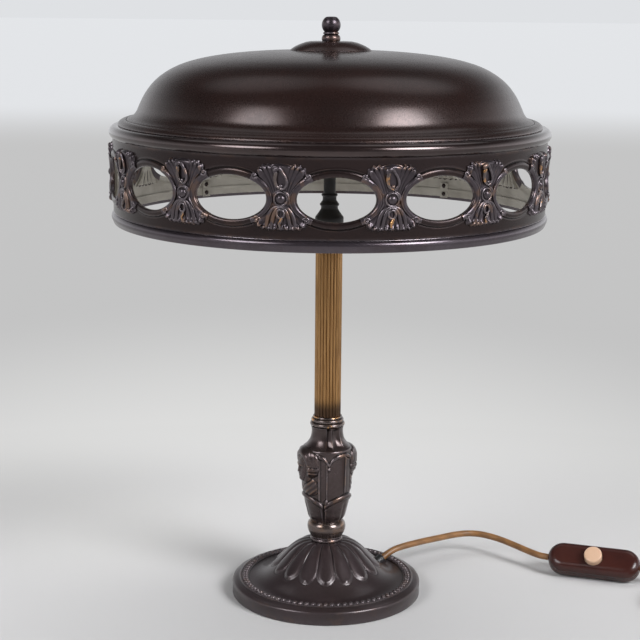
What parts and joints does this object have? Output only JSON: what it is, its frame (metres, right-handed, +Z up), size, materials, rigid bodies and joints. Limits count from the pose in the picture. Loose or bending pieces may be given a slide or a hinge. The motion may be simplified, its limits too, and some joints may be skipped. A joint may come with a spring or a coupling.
{
  "type": "table lamp",
  "caption": "Bouillotte table lamp with a pierced metal drum shade, a reeded brass column on a cast vase and lobed foot, and a push switch on its flex.",
  "frame": {"origin": "centre of the felt pad's underside, on the table, on the stem's axis", "axes": "+Z up along the stem, -Y the front, +X to the right where the flex leads away"},
  "size_m": [0.5693, 0.3632, 0.4924],
  "materials": {
    "bronze_lacquer": "dark chocolate bronze lacquer, satin gloss",
    "relief_bronze": "dark purplish bronze with rubbed edges",
    "antique_brass": "aged, dark in the grooves",
    "plain_brass": "bright",
    "black_metal": "black, satin",
    "zinc_steel": "zinc plated",
    "iron": "rough",
    "felt": "felt",
    "porcelain": "glazed",
    "opal_glass": "opal",
    "nickel": "nickel plated",
    "brown_plastic": "glossy dark brown",
    "black_plastic": "satin black",
    "cream_plastic": "cream",
    "gold_flex": "golden brown sheath"
  },
  "bodies": {
    "root": {"felt_pad": "felt", "foot_weight": "iron", "foot_shell": "bronze_lacquer", "bead_ring": "bronze_lacquer", "foot_washer": "zinc_steel", "foot_nut": "zinc_steel", "cord_gland": "black_plastic", "gland_nut": "black_plastic", "neck_ring": "bronze_lacquer", "knop": "bronze_lacquer", "vase": "bronze_lacquer", "vase_collar": "bronze_lacquer", "column": "antique_brass", "column_cap": "black_metal", "stem_tube": "black_metal", "cluster_nut": "zinc_steel", "cluster_cup": "plain_brass", "cluster_cover": "plain_brass", "arm_nipples": "zinc_steel", "holder_caps": "black_plastic", "holder_sleeves": "black_plastic", "holder_cores": "porcelain", "bulb_caps": "nickel", "bulb_glass": "opal_glass", "holder_wires": "gold_flex", "seat_nut": "zinc_steel", "seat_disc": "zinc_steel", "inner_flex": "gold_flex", "switch_base": "brown_plastic", "switch_cover": "brown_plastic", "switch_screws": "zinc_steel", "switch_terminals": "plain_brass", "switch_clamps": "black_plastic", "fixed_contacts": "plain_brass", "button_spring": "zinc_steel", "lead_to_switch": "gold_flex", "lead_to_coil": "gold_flex", "flex_coil": "gold_flex", "plug_lead": "gold_flex", "plug_sleeve": "brown_plastic", "plug_body": "brown_plastic", "plug_pins": "nickel"},
    "shade": {"dome": "bronze_lacquer", "shade_ring": "relief_bronze", "band": "relief_bronze", "cartouches": "relief_bronze", "lower_rim": "relief_bronze", "band_clips": "relief_bronze", "clip_rivets": "relief_bronze", "shade_cap": "bronze_lacquer"},
    "finial": {"finial": "relief_bronze"},
    "button": {"push_button": "cream_plastic", "moving_contact": "plain_brass"}
  },
  "joints": [
    {"name": "shade_turn", "type": "hinge", "parent": "root", "child": "shade", "pos_m": [0, 0, 0.4], "axis": [0, 0, 1], "continuous": true},
    {"name": "finial_turn", "type": "hinge", "parent": "root", "child": "finial", "pos_m": [0, 0, 0.475], "axis": [0, 0, 1], "range_deg": [0, 1800]},
    {"name": "button_press", "type": "slide", "parent": "root", "child": "button", "axis": [0.2062, 0.6501, -0.7314], "range_m": [0, 0.0025], "stiffness_N_per_m": 500, "springref_m": -0.001, "deforming": ["button_spring"]}
  ]
}
